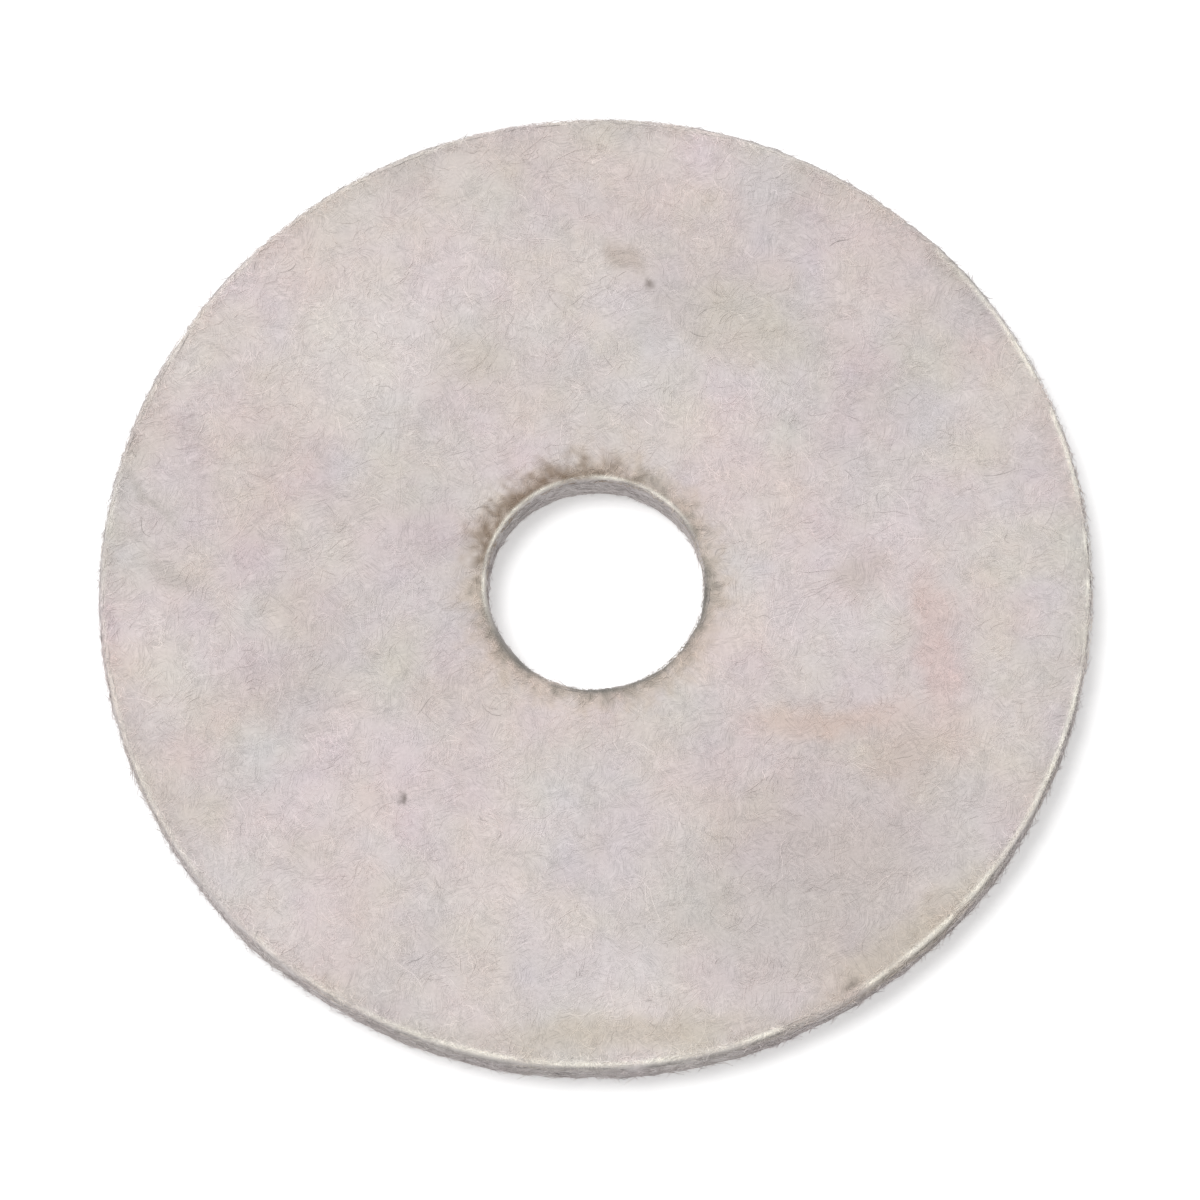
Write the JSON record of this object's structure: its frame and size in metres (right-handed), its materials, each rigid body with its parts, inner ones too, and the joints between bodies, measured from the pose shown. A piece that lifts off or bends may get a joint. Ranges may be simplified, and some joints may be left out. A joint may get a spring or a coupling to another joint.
{
  "type": "felt polishing wheel",
  "caption": "Flat round disc of pressed wool felt with a plain round arbor hole, clamped on a spindle to polish stone, glass or metal.",
  "frame": {"origin": "centre of the back face, on the arbor hole's axis, where the wheel lies flat", "axes": "+Z along the arbor hole's axis, from the back face to the front face; X and Y lie in the back face"},
  "size_m": [0.1, 0.1, 0.005],
  "materials": {
    "wool_felt": "matte"
  },
  "bodies": {
    "root": {"felt_disc": "wool_felt"}
  },
  "joints": []
}
